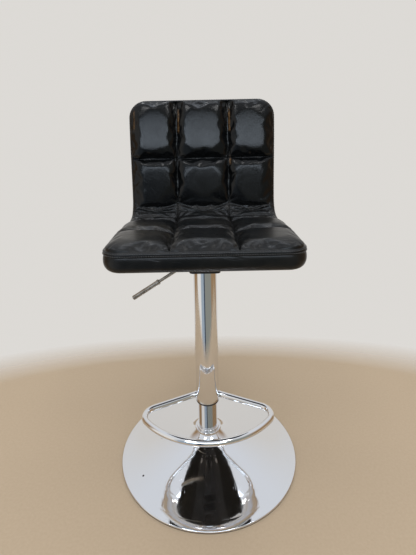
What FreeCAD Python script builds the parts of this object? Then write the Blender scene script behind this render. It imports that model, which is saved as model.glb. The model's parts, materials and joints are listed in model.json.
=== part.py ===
# Swivel bar stool: a chrome trumpet base, a gas-lift column with a footrest loop, and a
# quilted seat and back on one bent board. Millimetres, +Z up. The origin is on the column's
# axis at floor level, the sitter faces -Y, and the release lever points to -X.
import FreeCAD, Part
import math
import os
import Sketcher
from FreeCAD import Placement, Rotation, Vector
from types import SimpleNamespace

os.makedirs("parts", exist_ok=True)

# Driving sizes, in millimetres unless the name ends in angle, count or share.
SIZES = {
    # base
    "rim_radius": 230.0,
    "rim_height": 5.6,
    "rim_round": 1.8,
    "shell_wall": 2.0,
    "border_width": 20.5,
    "border_height": 8.9,
    "rise_arc": 355.0,
    "rise_width": 35.5,
    "shoulder_height": 17.1,
    "trumpet_radius": 74.5,
    "trumpet_height": 45.5,
    "trumpet_arc": 104.7,
    "neck_radius": 32.0,
    "neck_bend_height": 69.4,
    "neck_lip": 0.9,
    "gasket_height": 2.0,
    "gasket_width": 9.0,
    "gasket_inset": 0.5,
    "collar_radius": 34.0,
    "collar_step_radius": 30.0,
    "collar_height": 5.0,
    "collar_step_height": 5.2,
    "collar_round": 1.5,
    "socket_height": 36.0,
    "stiffener_inset": 8.0,
    "stiffener_hub_radius": 60.0,
    "stiffener_land": 8.0,
    "stiffener_wall": 2.5,
    # column tube and its guide bush
    "tube_radius": 25.0,
    "tube_wall": 2.0,
    "tube_bottom": 8.0,
    "tube_top_drop": 78.0,
    "end_plate_recess": 2.0,
    "end_plate_wall": 4.0,
    "bush_length": 55.0,
    "bush_flange": 3.0,
    "running_gap": 0.05,
    "face_gap": 0.3,
    # thrust bearing
    "race_radius": 15.0,
    "race_wall": 2.0,
    "ball_radius": 1.95,
    "ball_play": 0.05,
    "ball_circle": 10.5,
    "ball_count": 8.0,
    "cage_inner_radius": 7.0,
    "cage_outer_radius": 14.0,
    "cage_height": 2.8,
    # gas spring
    "spigot_radius": 4.0,
    "rod_radius": 5.0,
    "rod_bottom": 5.5,
    "piston_gap": 17.0,
    "clip_groove_radius": 3.2,
    "clip_radius": 7.5,
    "clip_wall": 1.2,
    "clip_mouth": 5.0,
    "washer_radius": 9.0,
    "washer_wall": 1.2,
    "washer_play": 0.1,
    "piston_height": 12.0,
    "bumper_radius": 12.0,
    "bumper_height": 23.0,
    "cylinder_radius": 14.0,
    "cylinder_wall": 1.5,
    "guide_height": 17.0,
    "valve_height": 18.0,
    "pin_radius": 2.5,
    "pin_foot_radius": 3.6,
    "pin_foot_height": 4.0,
    "taper_drop": 10.0,
    "taper_gap": 5.5,
    "taper_tip_radius": 12.6,
    # sleeve and footrest
    "sleeve_radius": 30.0,
    "sleeve_wall": 1.5,
    "sleeve_bottom": 154.5,
    "sleeve_cap_wall": 4.0,
    "sleeve_bush_length": 30.0,
    "sleeve_bush_lip": 3.8,
    "sleeve_cap_depth": 10.0,
    "sleeve_cap_radius": 31.5,
    "footrest_rise": 7.5,
    "footrest_rod_radius": 7.5,
    "footrest_half_width": 155.4,
    "footrest_reach": 165.4,
    "footrest_front_arc": 194.0,
    "footrest_corner_arc": 32.0,
    "footrest_root_across": 17.0,
    "footrest_root_behind": 10.4,
    "weld_radius": 9.0,
    "weld_length": 4.0,
    "weld_depth": 6.0,
    # seat mechanism
    "hub_radius": 19.0,
    "hub_drop": 8.0,
    "housing_depth": 45.0,
    "housing_half_width": 38.0,
    "housing_half_depth": 48.0,
    "housing_round": 10.0,
    "housing_wall": 2.5,
    "slot_half_width": 5.5,
    "slot_below": 8.5,
    "slot_above": 14.0,
    "plate_half_width": 100.0,
    "plate_half_depth": 90.0,
    "plate_round": 18.0,
    "plate_wall": 2.5,
    "bolt_across": 80.0,
    "bolt_along": 70.0,
    "bolt_radius": 3.0,
    "bolt_hole_gap": 0.3,
    "bolt_head_radius": 5.8,
    "bolt_head_height": 4.0,
    "bolt_washer_radius": 8.0,
    "bolt_washer_wall": 1.2,
    "tee_nut_radius": 4.5,
    "tee_nut_flange_radius": 9.0,
    "tee_nut_flange_wall": 1.2,
    # release lever
    "lever_radius": 4.0,
    "arm_drop": 9.5,
    "arm_inner_end": 8.0,
    "arm_outer_end": 12.0,
    "elbow_across": 54.0,
    "elbow_drop": 34.0,
    "lever_slope_angle": 32.5,
    "lever_bend_arc": 10.0,
    "lever_length": 150.0,
    "grip_start": 75.0,
    "grip_end_round": 2.0,
    "grip_radius": 5.8,
    "grip_end_wall": 5.0,
    "grip_collar_radius": 6.8,
    "grip_collar_length": 4.0,
    "pivot_radius": 2.0,
    "pivot_across": 27.0,
    "bracket_half_length": 7.0,
    "bracket_wall": 2.0,
    "bracket_side_gap": 0.3,
    "bracket_top_margin": 4.5,
    # seat board, cover and quilted pad
    "seat_underside": 563.0,
    "seat_front": 180.5,
    "seat_bend_start": 86.5,
    "back_length": 280.5,
    "back_lean_angle": 9.6,
    "bend_arc": 115.5,
    "cover_wall": 1.0,
    "board_wall": 12.0,
    "foam_front": 37.8,
    "foam_bend": 35.0,
    "foam_back": 32.5,
    "half_width": 219.0,
    "waist_half_width": 201.0,
    "waist_reach": 200.0,
    "back_half_width": 208.5,
    "back_waist_reach": 330.0,
    "front_corner_arc": 42.0,
    "top_corner_arc": 48.0,
    "end_round": 8.0,
    "leather_wall": 1.2,
    "side_bulge_inset": 22.0,
    "seam_inset": 4.0,
    "board_inset": 26.0,
    "cover_inset": 23.0,
    "row_seam_one": 148.5,
    "row_seam_two": 265.0,
    "row_seam_back": 112.0,
    "crease_share": 0.59,
    "column_seam": 73.0,
    "crown": 13.0,
    "seam_crown": 1.0,
    "seam_sink": 2.0,
    # one overrun for every cut
    "overrun": 5.0,
}

doc = FreeCAD.newDocument("swivel_stool")
sheet = doc.addObject("Spreadsheet::Sheet", "Sizes")
for row, (alias, number) in enumerate(SIZES.items(), start=1):
    sheet.set(f"A{row}", alias.replace("_", " "))
    sheet.set(f"B{row}", str(number))
    sheet.setAlias(f"B{row}", alias)
doc.recompute()


class Size:
    """A number of the stool: its value now, and the formula that ties it to the sheet."""

    def __init__(self, value, formula):
        self.value = value
        self.formula = formula

    def __add__(self, other):
        other = as_size(other)
        return Size(self.value + other.value, f"({self.formula} + {other.formula})")

    def __sub__(self, other):
        other = as_size(other)
        return Size(self.value - other.value, f"({self.formula} - {other.formula})")

    def __mul__(self, other):
        other = as_size(other)
        return Size(self.value * other.value, f"({self.formula} * {other.formula})")

    def __truediv__(self, other):
        other = as_size(other)
        return Size(self.value / other.value, f"({self.formula} / {other.formula})")

    def __neg__(self):
        return Size(-self.value, f"(0 - {self.formula})")


def as_size(number):
    return number if isinstance(number, Size) else Size(float(number), repr(float(number)))


def sine(angle):
    return Size(math.sin(math.radians(angle.value)), f"sin({angle.formula})")


def cosine(angle):
    return Size(math.cos(math.radians(angle.value)), f"cos({angle.formula})")


size = SimpleNamespace(**{alias: Size(number, f"Sizes.{alias}") for alias, number in SIZES.items()})
ZERO = as_size(0)

# Heights that several pieces share: the seat carries the mechanism, the lever and the gas spring
plate_underside = size.seat_underside - size.plate_wall
housing_bottom = plate_underside - size.housing_depth
housing_floor = housing_bottom + size.housing_wall
sleeve_top = housing_bottom - size.sleeve_cap_wall
footrest_height = size.sleeve_bottom + size.footrest_rise
tube_top = sleeve_top - size.tube_top_drop
neck_height = size.neck_bend_height + size.neck_lip
arm_height = size.seat_underside - size.arm_drop
arm_underside = arm_height - size.lever_radius
elbow_height = arm_height - size.elbow_drop
taper_bottom = housing_bottom - size.taper_drop
taper_top = arm_underside - size.taper_gap

nodes = []


def bind(thing, place, number):
    """Set a property of an object from the sheet."""
    thing.setExpression(place, number.formula)


def keep(thing, label):
    """Name a finished sub-part and list it for export."""
    thing.Label = label
    nodes.append(thing)
    return thing


# Sketching: every corner and radius is a constraint that the sheet drives.
def own_plane(body, role):
    return next(item for item in body.Origin.OriginFeatures if item.Role == role)


def sketch_on(body, role, name, offset=None):
    """A new sketch on one of the body's own origin planes, moved along the plane's normal."""
    sketch = body.newObject("Sketcher::SketchObject", name)
    sketch.AttachmentSupport = (own_plane(body, role), [""])
    sketch.MapMode = "FlatFace"
    if offset is not None:
        bind(sketch, "AttachmentOffset.Base.z", offset)
    return sketch


def pin_point(sketch, edge, end, across, up):
    """Fix a point of an edge at its place from the sketch's origin."""
    for kind, number in (("DistanceX", across), ("DistanceY", up)):
        index = sketch.addConstraint(Sketcher.Constraint(kind, -1, 1, edge, end, number.value))
        sketch.setExpression(f"Constraints[{index}]", number.formula)


def set_radius(sketch, edge, radius):
    index = sketch.addConstraint(Sketcher.Constraint("Radius", edge, radius.value))
    sketch.setExpression(f"Constraints[{index}]", radius.formula)


def draw_circle(sketch, across, up, radius):
    centre = Vector(across.value, up.value, 0)
    edge = sketch.addGeometry(Part.Circle(centre, Vector(0, 0, 1), radius.value))
    pin_point(sketch, edge, 3, across, up)
    set_radius(sketch, edge, radius)


def arc_between(start, end, radius, side):
    """An arc from start to end. Its centre is on the left of the way for side 1, else right."""
    chord = end - start
    half = chord.Length / 2
    left = Vector(-chord.y, chord.x, 0).normalize()
    centre = (start + end) / 2 + left * side * math.sqrt(max(radius**2 - half**2, 0))
    first = math.atan2(start.y - centre.y, start.x - centre.x)
    last = math.atan2(end.y - centre.y, end.x - centre.x)
    if side < 0:
        first, last = last, first
    return Part.ArcOfCircle(Part.Circle(centre, Vector(0, 0, 1), radius), first, last)


def draw_outline(sketch, corners):
    """A closed outline. A corner is (across, up), or (across, up, radius, side) where the edge
    that leaves it is an arc of that radius, with its centre on the left (1) or right (-1)."""
    points = [Vector(corner[0].value, corner[1].value, 0) for corner in corners]
    edges = []
    for index, corner in enumerate(corners):
        start = points[index]
        end = points[(index + 1) % len(points)]
        if len(corner) == 2:
            edge = sketch.addGeometry(Part.LineSegment(start, end))
            edges.append((edge, 1, 2))
        else:
            edge = sketch.addGeometry(arc_between(start, end, corner[2].value, corner[3]))
            edges.append((edge, 1, 2) if corner[3] > 0 else (edge, 2, 1))
    for index, (edge, first, last) in enumerate(edges):
        following, following_first, _ = edges[(index + 1) % len(edges)]
        sketch.addConstraint(Sketcher.Constraint("Coincident", edge, last, following, following_first))
        pin_point(sketch, edge, first, corners[index][0], corners[index][1])
        if len(corners[index]) > 2:
            set_radius(sketch, edge, corners[index][2])


def draw_rounded_box(sketch, half_width, half_depth, corner):
    """A rectangle about the sketch's origin, with round corners."""
    near_x = half_width - corner
    near_y = half_depth - corner
    draw_outline(
        sketch,
        [
            (-near_x, -half_depth),
            (near_x, -half_depth, corner, 1),
            (half_width, -near_y),
            (half_width, near_y, corner, 1),
            (near_x, half_depth),
            (-near_x, half_depth, corner, 1),
            (-half_width, near_y),
            (-half_width, -near_y, corner, 1),
        ],
    )


# Features
def new_body(label):
    return keep(doc.addObject("PartDesign::Body", label), label)


def turned(label, corners):
    """A body turned about the Z axis from an outline of (radius, height) corners."""
    body = new_body(label)
    sketch = sketch_on(body, "XZ_Plane", label + "_outline")
    draw_outline(sketch, corners)
    turn = body.newObject("PartDesign::Revolution", label + "_turn")
    turn.Profile = sketch
    turn.ReferenceAxis = (sketch, ["V_Axis"])
    turn.Angle = 360
    doc.recompute()
    return body


def ring(label, inner, outer, bottom, top):
    """A plain ring, or a disc where the inner radius is zero."""
    return turned(label, [(inner, bottom), (outer, bottom), (outer, top), (inner, top)])


def padded(body, sketch, label, length):
    pad = body.newObject("PartDesign::Pad", label)
    pad.Profile = sketch
    bind(pad, "Length", length)
    doc.recompute()
    return pad


def pocketed(body, sketch, label, depth=None):
    """Cut a sketch out of a body, to a depth or right through both ways, and prove that it cut."""
    before = body.Shape.Volume
    pocket = body.newObject("PartDesign::Pocket", label)
    pocket.Profile = sketch
    if depth is None:
        pocket.Type = "ThroughAll"
        pocket.SideType = "Symmetric"
    else:
        bind(pocket, "Length", depth)
    doc.recompute()
    if not body.Shape.Volume < before:
        raise ValueError(f"{label} cuts nothing")
    return pocket


def piped(body, path, profile, label):
    pipe = body.newObject("PartDesign::AdditivePipe", label)
    pipe.Profile = profile
    pipe.Spine = path
    doc.recompute()
    return pipe


def solid(kind, name, place, **numbers):
    """A primitive whose sizes and place the sheet drives."""
    thing = doc.addObject(kind, name)
    for key, number in numbers.items():
        bind(thing, key, number)
    for axis, number in zip("xyz", place):
        bind(thing, f"Placement.Base.{axis}", number)
    return thing


def fused(name, first, second):
    whole = doc.addObject("Part::Fuse", name)
    whole.Base = first
    whole.Tool = second
    return whole


def cut_out(name, first, second):
    rest = doc.addObject("Part::Cut", name)
    rest.Base = first
    rest.Tool = second
    return rest


def grouped(label, pieces):
    group = doc.addObject("Part::Compound", label)
    group.Links = pieces
    return keep(group, label)


# Base: the spun shell, its rim gasket, and what holds the column in its neck
border_radius = size.rim_radius - size.border_width
shoulder_radius = border_radius - size.rise_width
stiffener_radius = shoulder_radius - size.stiffener_inset


def shell_underside(radius):
    """Height of the shell's underside on its straight cone, from shoulder to trumpet."""
    rise = (size.trumpet_height - size.shoulder_height) / (shoulder_radius - size.trumpet_radius)
    return size.shoulder_height - size.shell_wall + (shoulder_radius - radius) * rise


def build_base():
    wall = size.shell_wall
    rim_inside = size.rim_radius - size.rim_round
    turned(
        "base_shell",
        [
            (size.rim_radius - wall, size.gasket_height),
            (size.rim_radius, size.gasket_height),
            (size.rim_radius, size.rim_height - size.rim_round, size.rim_round, 1),
            (rim_inside, size.rim_height),
            (border_radius, size.border_height, size.rise_arc, -1),
            (shoulder_radius, size.shoulder_height),
            (size.trumpet_radius, size.trumpet_height, size.trumpet_arc, -1),
            (size.neck_radius, size.neck_bend_height),
            (size.neck_radius, neck_height),
            (size.neck_radius - wall, neck_height),
            (size.neck_radius - wall, size.neck_bend_height, size.trumpet_arc, 1),
            (size.trumpet_radius, size.trumpet_height - wall),
            (shoulder_radius, size.shoulder_height - wall, size.rise_arc, 1),
            (border_radius, size.border_height - wall),
            (size.rim_radius - wall, size.rim_height - wall),
        ],
    )
    gasket_outside = size.rim_radius - size.gasket_inset
    ring("rim_gasket", gasket_outside - size.gasket_width, gasket_outside, ZERO, size.gasket_height)
    ring(
        "neck_socket",
        size.tube_radius,
        size.neck_radius - wall,
        neck_height - size.socket_height,
        neck_height,
    )
    step = neck_height + size.collar_height
    top = step + size.collar_step_height
    turned(
        "base_collar",
        [
            (size.tube_radius, neck_height),
            (size.collar_radius, neck_height),
            (size.collar_radius, step - size.collar_round, size.collar_round, 1),
            (size.collar_radius - size.collar_round, step),
            (size.collar_step_radius, step),
            (size.collar_step_radius, top - size.collar_round, size.collar_round, 1),
            (size.collar_step_radius - size.collar_round, top),
            (size.tube_radius, top),
        ],
    )
    foot = size.tube_bottom + size.end_plate_recess
    land = stiffener_radius - size.stiffener_land
    turned(
        "base_stiffener",
        [
            (size.tube_radius, foot),
            (size.stiffener_hub_radius, foot),
            (land, shell_underside(land) - size.stiffener_wall),
            (stiffener_radius, shell_underside(stiffener_radius) - size.stiffener_wall),
            (stiffener_radius, shell_underside(stiffener_radius)),
            (land, shell_underside(land)),
            (size.stiffener_hub_radius, foot + size.stiffener_wall),
            (size.tube_radius, foot + size.stiffener_wall),
        ],
    )


# Column: the lower chrome tube, the plate that closes it and the bush at its top
tube_inside = size.tube_radius - size.tube_wall
plate_bottom = size.tube_bottom + size.end_plate_recess
plate_top = plate_bottom + size.end_plate_wall


def build_column():
    ring("column_tube", tube_inside, size.tube_radius, size.tube_bottom, tube_top)
    ring("tube_end_plate", size.spigot_radius + size.running_gap, tube_inside, plate_bottom, plate_top)
    bore = size.cylinder_radius + size.running_gap
    flange_top = tube_top + size.bush_flange
    turned(
        "column_bush",
        [
            (bore, tube_top - size.bush_length),
            (tube_inside, tube_top - size.bush_length),
            (tube_inside, tube_top),
            (size.tube_radius, tube_top),
            (size.tube_radius, flange_top),
            (bore, flange_top),
        ],
    )


# Thrust bearing: the seat turns on it, between the end plate and the rod's shoulder
ball_centre = plate_top + size.race_wall + size.ball_radius + size.ball_play
race_upper_bottom = ball_centre + size.ball_radius + size.ball_play
shoulder = race_upper_bottom + size.race_wall


def build_bearing():
    lower_bore = size.spigot_radius + size.running_gap
    ring("bearing_race_lower", lower_bore, size.race_radius, plate_top, plate_top + size.race_wall)
    ring("bearing_race_upper", size.spigot_radius, size.race_radius, race_upper_bottom, shoulder)
    cage_bottom = ball_centre - size.cage_height / 2
    cage_top = ball_centre + size.cage_height / 2
    cage = ring("bearing_cage", size.cage_inner_radius, size.cage_outer_radius, cage_bottom, cage_top)
    hole = sketch_on(cage, "XY_Plane", "ball_pocket", cage_top)
    draw_circle(hole, size.ball_circle, ZERO, size.ball_radius + size.running_gap)
    pocket = pocketed(cage, hole, "ball_pocket_cut", size.cage_height + size.overrun)
    pattern = cage.newObject("PartDesign::PolarPattern", "ball_pockets")
    pattern.Originals = [pocket]
    pattern.Axis = (hole, ["N_Axis"])
    pattern.Angle = 360
    bind(pattern, "Occurrences", size.ball_count)
    cage.Tip = pattern
    balls = []
    for number in range(round(size.ball_count.value)):
        turn = as_size(360) * number / size.ball_count
        place = (size.ball_circle * cosine(turn), size.ball_circle * sine(turn), ball_centre)
        balls.append(solid("Part::Sphere", f"ball_{number + 1}", place, Radius=size.ball_radius))
    grouped("bearing_balls", balls)


# Gas spring: the rod hangs in the end plate, and the cylinder slides on it with the seat
clip_top = plate_bottom - size.washer_play - size.washer_wall
clip_bottom = clip_top - size.clip_wall
cylinder_bottom = shoulder + size.bumper_height + size.face_gap
cylinder_inside = size.cylinder_radius - size.cylinder_wall


def build_gas_spring():
    piston_top = taper_bottom - size.valve_height - size.piston_gap
    rod_top = piston_top - size.piston_height
    turned(
        "piston_rod",
        [
            (ZERO, size.rod_bottom),
            (size.spigot_radius, size.rod_bottom),
            (size.spigot_radius, clip_bottom),
            (size.clip_groove_radius, clip_bottom),
            (size.clip_groove_radius, clip_top),
            (size.spigot_radius, clip_top),
            (size.spigot_radius, shoulder),
            (size.rod_radius, shoulder),
            (size.rod_radius, rod_top),
            (size.spigot_radius, rod_top),
            (size.spigot_radius, piston_top),
            (ZERO, piston_top),
        ],
    )
    ring("piston", size.spigot_radius, cylinder_inside - size.running_gap, rod_top, piston_top)
    ring("rod_washer", size.spigot_radius, size.washer_radius, clip_top, clip_top + size.washer_wall)
    clip = ring("rod_clip", size.clip_groove_radius, size.clip_radius, clip_bottom, clip_top)
    mouth = sketch_on(clip, "XY_Plane", "clip_mouth_outline", clip_top)
    half_mouth = size.clip_mouth / 2
    draw_outline(
        mouth,
        [
            (ZERO, -half_mouth),
            (size.clip_radius + size.overrun, -half_mouth),
            (size.clip_radius + size.overrun, half_mouth),
            (ZERO, half_mouth),
        ],
    )
    pocketed(clip, mouth, "clip_mouth_cut", size.clip_wall + size.overrun)
    ring("rod_bumper", size.rod_radius, size.bumper_radius, shoulder, shoulder + size.bumper_height)
    pin_bore = size.pin_radius + size.running_gap
    turned(
        "gas_cylinder",
        [
            (cylinder_inside, cylinder_bottom),
            (size.cylinder_radius, cylinder_bottom),
            (size.cylinder_radius, taper_bottom),
            (size.taper_tip_radius, taper_top),
            (pin_bore, taper_top),
            (pin_bore, taper_bottom),
            (cylinder_inside, taper_bottom),
        ],
    )
    guide_top = cylinder_bottom + size.guide_height
    ring("cylinder_guide", size.rod_radius + size.running_gap, cylinder_inside, cylinder_bottom, guide_top)
    valve_bottom = taper_bottom - size.valve_height
    ring("valve_block", pin_bore, cylinder_inside, valve_bottom, taper_bottom)
    foot_top = valve_bottom - size.face_gap
    turned(
        "release_pin",
        [
            (ZERO, foot_top - size.pin_foot_height),
            (size.pin_foot_radius, foot_top - size.pin_foot_height),
            (size.pin_foot_radius, foot_top),
            (size.pin_radius, foot_top),
            (size.pin_radius, arm_underside - size.face_gap),
            (ZERO, arm_underside - size.face_gap),
        ],
    )


# Cover sleeve: rises with the seat and carries the footrest
sleeve_inside = size.sleeve_radius - size.sleeve_wall


def build_sleeve():
    ring("cover_sleeve", sleeve_inside, size.sleeve_radius, size.sleeve_bottom, sleeve_top)
    bore = size.tube_radius + size.running_gap
    lip_bottom = size.sleeve_bottom - size.sleeve_bush_lip
    bush_top = size.sleeve_bottom + size.sleeve_bush_length
    turned(
        "sleeve_bush",
        [
            (bore, lip_bottom),
            (size.sleeve_radius, lip_bottom),
            (size.sleeve_radius, size.sleeve_bottom),
            (sleeve_inside, size.sleeve_bottom),
            (sleeve_inside, bush_top),
            (bore, bush_top),
        ],
    )
    turned(
        "sleeve_cap",
        [
            (size.cylinder_radius, sleeve_top - size.sleeve_cap_depth),
            (sleeve_inside, sleeve_top - size.sleeve_cap_depth),
            (sleeve_inside, sleeve_top),
            (size.sleeve_cap_radius, sleeve_top),
            (size.sleeve_cap_radius, housing_bottom),
            (size.cylinder_radius, housing_bottom),
        ],
    )


def footrest_half_path(sketch):
    """Half the loop's centre line: front arc, tight corner and straight arm to the sleeve.
    The arcs and the arm are tangent. The start values only place them near the answer."""
    reach, front, corner = size.footrest_reach, size.footrest_front_arc, size.footrest_corner_arc
    centre_across = size.footrest_half_width - corner
    front_centre = Vector(0, (front - reach).value, 0)
    drop = math.sqrt((front - corner).value ** 2 - centre_across.value**2)
    corner_centre = Vector(centre_across.value, front_centre.y - drop, 0)
    root = Vector(size.footrest_root_across.value, size.footrest_root_behind.value, 0)
    meet = front_centre + (corner_centre - front_centre).normalize() * front.value
    to_root = root - corner_centre
    swing = math.acos(corner.value / to_root.Length)
    heading = math.atan2(to_root.y, to_root.x) - swing
    leave = corner_centre + Vector(math.cos(heading), math.sin(heading), 0) * corner.value
    front_arc = sketch.addGeometry(arc_between(Vector(0, -reach.value, 0), meet, front.value, 1))
    corner_arc = sketch.addGeometry(arc_between(meet, leave, corner.value, 1))
    arm = sketch.addGeometry(Part.LineSegment(leave, root))
    pin_point(sketch, front_arc, 1, ZERO, -reach)
    sketch.addConstraint(Sketcher.Constraint("PointOnObject", front_arc, 3, -2))
    set_radius(sketch, front_arc, front)
    sketch.addConstraint(Sketcher.Constraint("Tangent", front_arc, 2, corner_arc, 1))
    set_radius(sketch, corner_arc, corner)
    across = sketch.addConstraint(
        Sketcher.Constraint("DistanceX", -1, 1, corner_arc, 3, centre_across.value)
    )
    sketch.setExpression(f"Constraints[{across}]", centre_across.formula)
    sketch.addConstraint(Sketcher.Constraint("Tangent", corner_arc, 2, arm, 1))
    pin_point(sketch, arm, 2, size.footrest_root_across, size.footrest_root_behind)
    return heading, leave, root


def build_footrest():
    body = new_body("footrest")
    path = sketch_on(body, "XY_Plane", "footrest_path", footrest_height)
    heading, leave, root = footrest_half_path(path)
    profile = sketch_on(body, "YZ_Plane", "footrest_section")
    draw_circle(profile, -size.footrest_reach, footrest_height, size.footrest_rod_radius)
    pipe = piped(body, path, profile, "footrest_half")
    mirror = body.newObject("PartDesign::Mirrored", "footrest_loop")
    mirror.Originals = [pipe]
    mirror.MirrorPlane = (own_plane(body, "YZ_Plane"), [""])
    body.Tip = mirror
    doc.recompute()
    sleeve = sketch_on(body, "XY_Plane", "footrest_sleeve_cut", footrest_height)
    draw_circle(sleeve, ZERO, ZERO, size.sleeve_radius)
    pocketed(body, sleeve, "footrest_sleeve_pocket")
    keep(weld_beads(leave, root), "footrest_welds")


def weld_beads(leave, root):
    """Two beads, each a short cone round an arm where it meets the sleeve."""
    arm = (leave - root).normalize()
    inward = root.dot(arm)
    to_surface = math.sqrt(inward**2 + sheet.sleeve_radius**2 - root.Length**2) - inward
    length = sheet.weld_depth + sheet.weld_length
    tube = Part.makeCylinder(sheet.sleeve_radius, sleeve_top.value)
    beads = []
    for side in (1, -1):
        direction = Vector(arm.x * side, arm.y, 0)
        foot = Vector(root.x * side, root.y, footrest_height.value)
        start = foot + direction * (to_surface - sheet.weld_depth)
        cone = Part.makeCone(sheet.weld_radius, sheet.footrest_rod_radius, length, start, direction)
        rod = Part.makeCylinder(sheet.footrest_rod_radius, length, start, direction)
        beads.append(cone.cut([rod, tube]))
    welds = doc.addObject("Part::Feature", "footrest_welds")
    welds.Shape = Part.makeCompound(beads)
    return welds


# Seat mechanism: hub, housing, plate, lever bracket and the bolts into the board
pivot_slope = (arm_height - elbow_height) / (size.elbow_across - size.arm_outer_end)
pivot_height = arm_height - (size.pivot_across - size.arm_outer_end) * pivot_slope
bracket_inside = size.lever_radius + size.bracket_side_gap
bracket_outside = bracket_inside + size.bracket_wall


def taper_radius(height):
    """Radius of the gas spring's tapered neck at a height."""
    fall = (size.cylinder_radius - size.taper_tip_radius) / (taper_top - taper_bottom)
    return size.cylinder_radius - (height - taper_bottom) * fall


def build_housing():
    hub_top = taper_top - size.hub_drop
    turned(
        "taper_hub",
        [
            (taper_radius(housing_bottom), housing_bottom),
            (size.hub_radius, housing_bottom),
            (size.hub_radius, hub_top),
            (taper_radius(hub_top), hub_top),
        ],
    )
    wall = size.housing_wall
    body = new_body("mechanism_housing")
    outside = sketch_on(body, "XY_Plane", "housing_outline", housing_bottom)
    draw_rounded_box(outside, size.housing_half_width, size.housing_half_depth, size.housing_round)
    padded(body, outside, "housing_block", plate_underside - housing_bottom)
    inside = sketch_on(body, "XY_Plane", "housing_hollow_outline", plate_underside)
    draw_rounded_box(
        inside,
        size.housing_half_width - wall,
        size.housing_half_depth - wall,
        size.housing_round - wall,
    )
    pocketed(body, inside, "housing_hollow", plate_underside - housing_floor)
    bore = sketch_on(body, "XY_Plane", "hub_hole_outline", housing_floor)
    draw_circle(bore, ZERO, ZERO, size.hub_radius)
    pocketed(body, bore, "hub_hole", wall + size.overrun)
    arm_exit = arm_height - (size.housing_half_width - size.arm_outer_end) * pivot_slope
    slot = sketch_on(body, "YZ_Plane", "lever_slot_outline", wall - size.housing_half_width)
    draw_outline(
        slot,
        [
            (-size.slot_half_width, arm_exit - size.slot_below),
            (size.slot_half_width, arm_exit - size.slot_below),
            (size.slot_half_width, arm_exit + size.slot_above),
            (-size.slot_half_width, arm_exit + size.slot_above),
        ],
    )
    pocketed(body, slot, "lever_slot", wall + size.overrun)


def bolt_places():
    rows = (-size.bolt_along, size.bolt_along)
    return [(across, along) for across in (-size.bolt_across, size.bolt_across) for along in rows]


def drilled(body, label, radius, top, depth):
    """Drill the four bolt places from a height, downwards."""
    sketch = sketch_on(body, "XY_Plane", label + "_outline", top)
    for across, along in bolt_places():
        draw_circle(sketch, across, along, radius)
    return pocketed(body, sketch, label, depth)


def build_seat_plate():
    body = new_body("seat_plate")
    outline = sketch_on(body, "XY_Plane", "plate_outline", plate_underside)
    draw_rounded_box(outline, size.plate_half_width, size.plate_half_depth, size.plate_round)
    padded(body, outline, "plate_blank", size.plate_wall)
    hole = size.bolt_radius + size.bolt_hole_gap
    drilled(body, "plate_holes", hole, size.seat_underside, size.plate_wall + size.overrun)


def build_lever_bracket():
    body = new_body("lever_bracket")
    end = size.pivot_across + size.bracket_half_length
    ear_top = pivot_height + size.bracket_top_margin
    web_top = housing_floor + size.bracket_wall
    section = sketch_on(body, "YZ_Plane", "bracket_section", -end)
    draw_outline(
        section,
        [
            (-bracket_outside, housing_floor),
            (bracket_outside, housing_floor),
            (bracket_outside, ear_top),
            (bracket_inside, ear_top),
            (bracket_inside, web_top),
            (-bracket_inside, web_top),
            (-bracket_inside, ear_top),
            (-bracket_outside, ear_top),
        ],
    )
    padded(body, section, "bracket_channel", size.bracket_half_length * 2)
    hole = sketch_on(body, "XZ_Plane", "bracket_hole_outline")
    draw_circle(hole, -size.pivot_across, pivot_height, size.pivot_radius)
    pocketed(body, hole, "bracket_hole")
    pin = new_body("lever_pivot_pin")
    pin_section = sketch_on(pin, "XZ_Plane", "pivot_pin_section")
    draw_circle(pin_section, -size.pivot_across, pivot_height, size.pivot_radius)
    pad = padded(pin, pin_section, "pivot_pin_pad", bracket_outside * 2)
    pad.SideType = "Symmetric"


# Seat board, cover and what is bolted into the board
cover_top = size.seat_underside + size.cover_wall
board_top = cover_top + size.board_wall
nut_flange_bottom = board_top - size.tee_nut_flange_wall


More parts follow.
